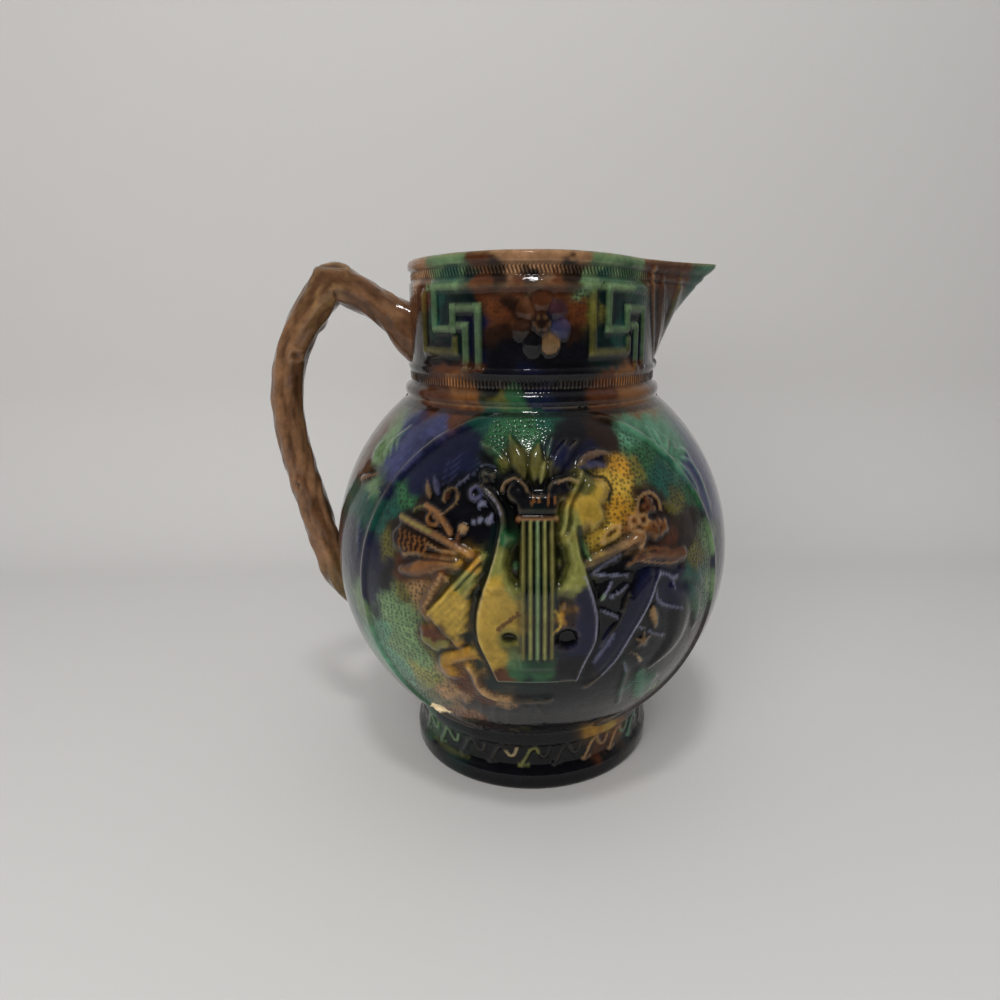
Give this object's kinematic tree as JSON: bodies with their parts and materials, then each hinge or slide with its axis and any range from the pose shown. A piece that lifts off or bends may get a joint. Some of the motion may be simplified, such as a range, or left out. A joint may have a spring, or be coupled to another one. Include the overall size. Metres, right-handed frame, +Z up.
{
  "type": "majolica pitcher",
  "caption": "Glazed earthenware pitcher with a round body on a foot, a straight neck with a pointed spout, a branch handle and a lyre trophy in relief.",
  "frame": {"origin": "centre of the bounding box at the level of the foot's underside", "axes": "+Z up along the vessel's axis, +X towards the spout, -X towards the handle, -Y out of the lyre side"},
  "size_m": [0.1832, 0.1664, 0.2],
  "materials": {
    "majolica_glaze": "thick glossy lead glaze, mottled brown, olive green, navy and ochre, dark in the hollows of the relief"
  },
  "bodies": {
    "root": {"pitcher": "majolica_glaze"}
  },
  "joints": []
}
